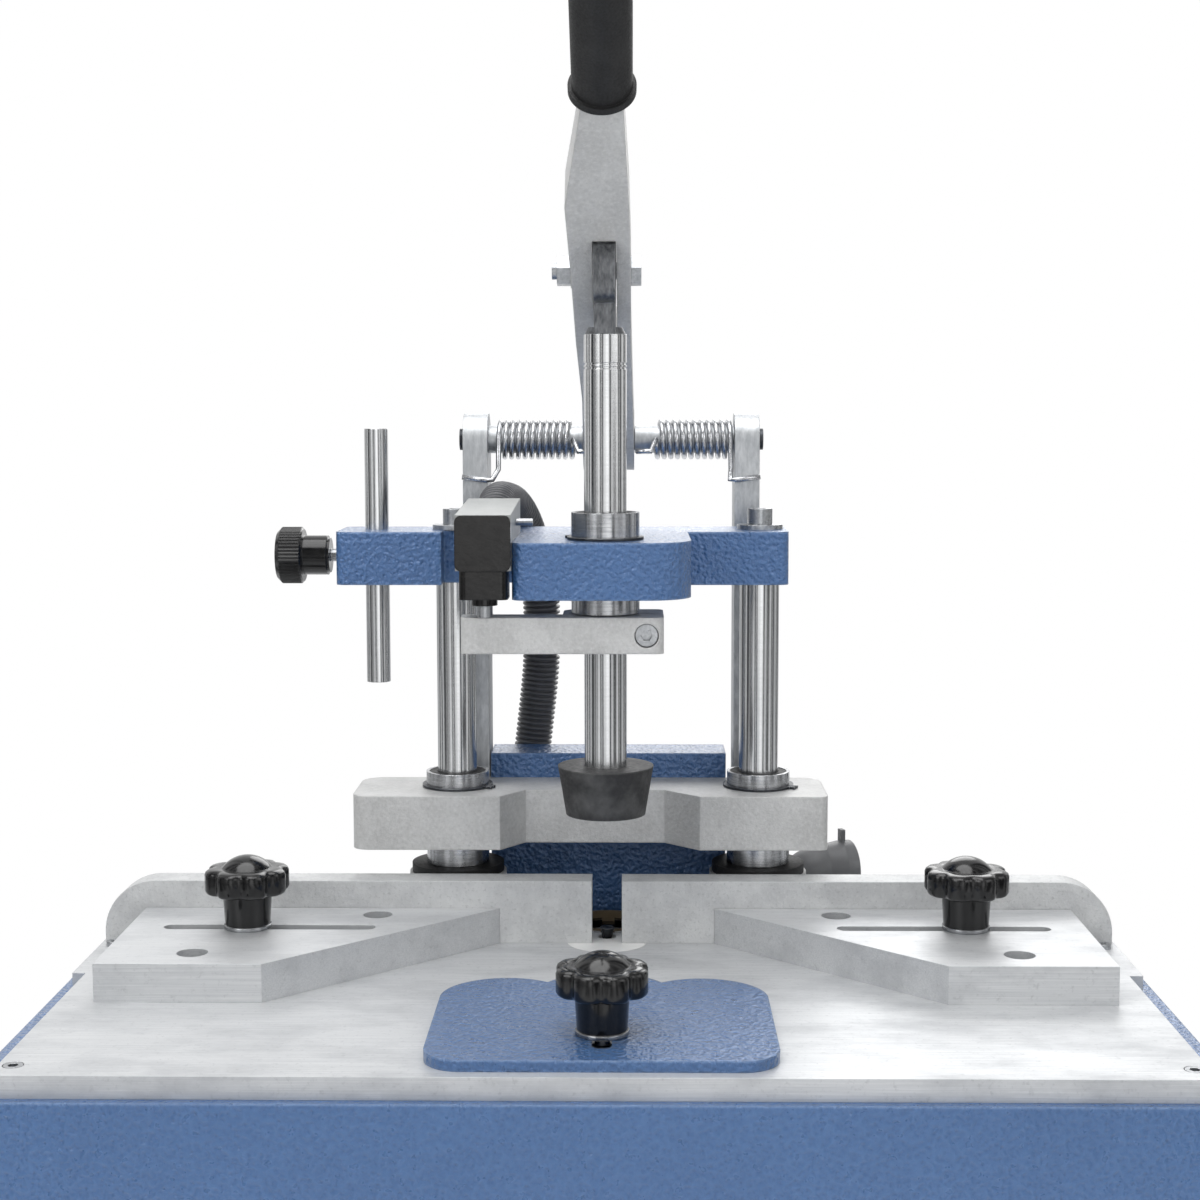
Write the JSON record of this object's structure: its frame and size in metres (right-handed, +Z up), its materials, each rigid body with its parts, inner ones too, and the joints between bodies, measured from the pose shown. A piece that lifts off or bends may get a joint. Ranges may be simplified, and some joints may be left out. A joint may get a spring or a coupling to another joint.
{
  "type": "dovetail milling machine",
  "caption": "Bench machine for milling dovetails: one hand lever clamps the workpiece and lifts a router motor past a split fence on two columns.",
  "frame": {"origin": "on the bench, under the axis of the clamping shaft, in the middle of the bench bolts", "axes": "+X to the operator's right, +Y away from the operator, +Z up"},
  "size_m": [0.646, 0.4255, 0.83],
  "materials": {
    "blue_paint": "hammered blue paint",
    "black_rubber": "moulded",
    "ground_steel": "ground",
    "zinc_steel": "zinc plated",
    "white_plastic": "satin",
    "cast_iron": "machined faces, rough ends",
    "cast_aluminium": "sand cast",
    "chrome_rod": "polished",
    "bearing_steel": "fine ground",
    "blackened_steel": "blackened",
    "black_plastic": "gloss",
    "dark_plastic": "satin",
    "grey_plastic": "satin",
    "conduit_plastic": "satin",
    "phenolic": "laminate",
    "arm_steel": "drawn",
    "spring_steel": "bright drawn",
    "motor_aluminium": "anodised"
  },
  "bodies": {
    "frame": {"base_shell": "blue_paint", "base_feet": "black_rubber", "rear_cover": "blue_paint", "table_plate": "ground_steel", "table_screws": "zinc_steel", "table_insert": "white_plastic", "fence_left": "cast_iron", "fence_right": "cast_iron", "fence_screws": "zinc_steel", "column_bosses": "cast_aluminium", "column_left": "chrome_rod", "column_right": "chrome_rod", "stop_rings": "black_rubber", "top_bridge": "blue_paint", "hub_bushing": "bearing_steel", "hub_seals": "black_rubber", "hub_circlip": "blackened_steel", "column_cap_screws": "zinc_steel", "column_washers": "zinc_steel", "switch_body": "grey_plastic", "switch_cover": "dark_plastic", "switch_head": "dark_plastic", "switch_screws": "zinc_steel", "conduit": "conduit_plastic", "dust_spout": "dark_plastic", "chip_ring": "phenolic", "chip_cup": "dark_plastic"},
    "carriage": {"carriage_bridge": "cast_aluminium", "carriage_bushings": "bearing_steel", "carriage_seals": "black_rubber", "carriage_circlips": "blackened_steel", "motor_bracket": "blue_paint", "bracket_screws": "zinc_steel", "spring_arm_left": "arm_steel", "spring_arm_right": "arm_steel", "lever_axle": "blackened_steel", "axle_sleeves": "arm_steel", "spring_left": "spring_steel", "spring_right": "spring_steel", "motor_body": "motor_aluminium", "motor_cap": "dark_plastic"},
    "spindle": {"collet_nut": "blackened_steel", "dovetail_cutter": "blackened_steel"},
    "clamp": {"clamp_shaft": "chrome_rod", "shaft_lug": "blackened_steel", "foot_rubber": "black_rubber", "switch_arm": "cast_aluminium", "arm_screw": "zinc_steel"},
    "lever": {"lever": "cast_aluminium", "lever_grip": "black_rubber", "clevis_bolt": "zinc_steel"},
    "plunger": {"switch_plunger": "zinc_steel"},
    "stop_rod": {"stop_rod": "bearing_steel"},
    "stop_knob": {"stop_knob": "black_plastic"},
    "mitre_left": {"mitre_plate_left": "ground_steel"},
    "mitre_right": {"mitre_plate_right": "ground_steel"},
    "knob_left": {"star_knob_left": "black_plastic"},
    "knob_right": {"star_knob_right": "black_plastic"},
    "knob_front": {"star_knob_front": "black_plastic"},
    "front_support": {"front_support": "blue_paint"}
  },
  "joints": [
    {"name": "carriage_lift", "type": "slide", "parent": "frame", "child": "carriage", "axis": [0, 0, 1], "range_m": [0, 0.0675]},
    {"name": "lever_swing", "type": "hinge", "parent": "carriage", "child": "lever", "pos_m": [0, 0.142, 0.56], "axis": [1, 0, 0], "range_deg": [0, 52.52], "stiffness_Nm_per_rad": 4, "springref_deg": -34.38, "deforming": ["spring_left", "spring_right"]},
    {"name": "clamp_slide", "type": "slide", "parent": "frame", "child": "clamp", "axis": [0, 0, -1], "range_m": [0, 0.078]},
    {"name": "plunger_slide", "type": "slide", "parent": "frame", "child": "plunger", "axis": [0, 0, -1], "range_m": [0, 0.004]},
    {"name": "spindle_spin", "type": "hinge", "parent": "carriage", "child": "spindle", "pos_m": [0, 0.06, 0.15], "axis": [0, 0, 1], "continuous": true},
    {"name": "stop_rod_slide", "type": "slide", "parent": "frame", "child": "stop_rod", "axis": [0, 0, 1], "range_m": [0, 0.05]},
    {"name": "stop_knob_turn", "type": "hinge", "parent": "frame", "child": "stop_knob", "pos_m": [-0.18, 0.097, 0.4875], "axis": [-1, 0, 0], "range_deg": [0, 360]},
    {"name": "mitre_left_slide", "type": "slide", "parent": "frame", "child": "mitre_left", "axis": [-1, 0, 0], "range_m": [-0.036, 0.014]},
    {"name": "mitre_right_slide", "type": "slide", "parent": "frame", "child": "mitre_right", "axis": [1, 0, 0], "range_m": [-0.036, 0.014]},
    {"name": "knob_left_turn", "type": "hinge", "parent": "frame", "child": "knob_left", "pos_m": [-0.214, -0.002, 0.272], "axis": [0, 0, 1], "range_deg": [0, 360]},
    {"name": "knob_right_turn", "type": "hinge", "parent": "frame", "child": "knob_right", "pos_m": [0.214, -0.002, 0.272], "axis": [0, 0, 1], "range_deg": [0, 360]},
    {"name": "knob_front_turn", "type": "hinge", "parent": "frame", "child": "knob_front", "pos_m": [0, -0.152, 0.256], "axis": [0, 0, 1], "range_deg": [0, 360]},
    {"name": "front_support_slide", "type": "slide", "parent": "frame", "child": "front_support", "axis": [0, -1, 0], "range_m": [-0.015, 0.015]}
  ],
  "couplings": [
    {"joint": "lever_swing", "follows": "carriage_lift", "rad_per_m": 13.58},
    {"joint": "clamp_slide", "follows": "carriage_lift", "ratio": 1.1555},
    {"joint": "plunger_slide", "follows": "carriage_lift", "ratio": 0.0592}
  ]
}
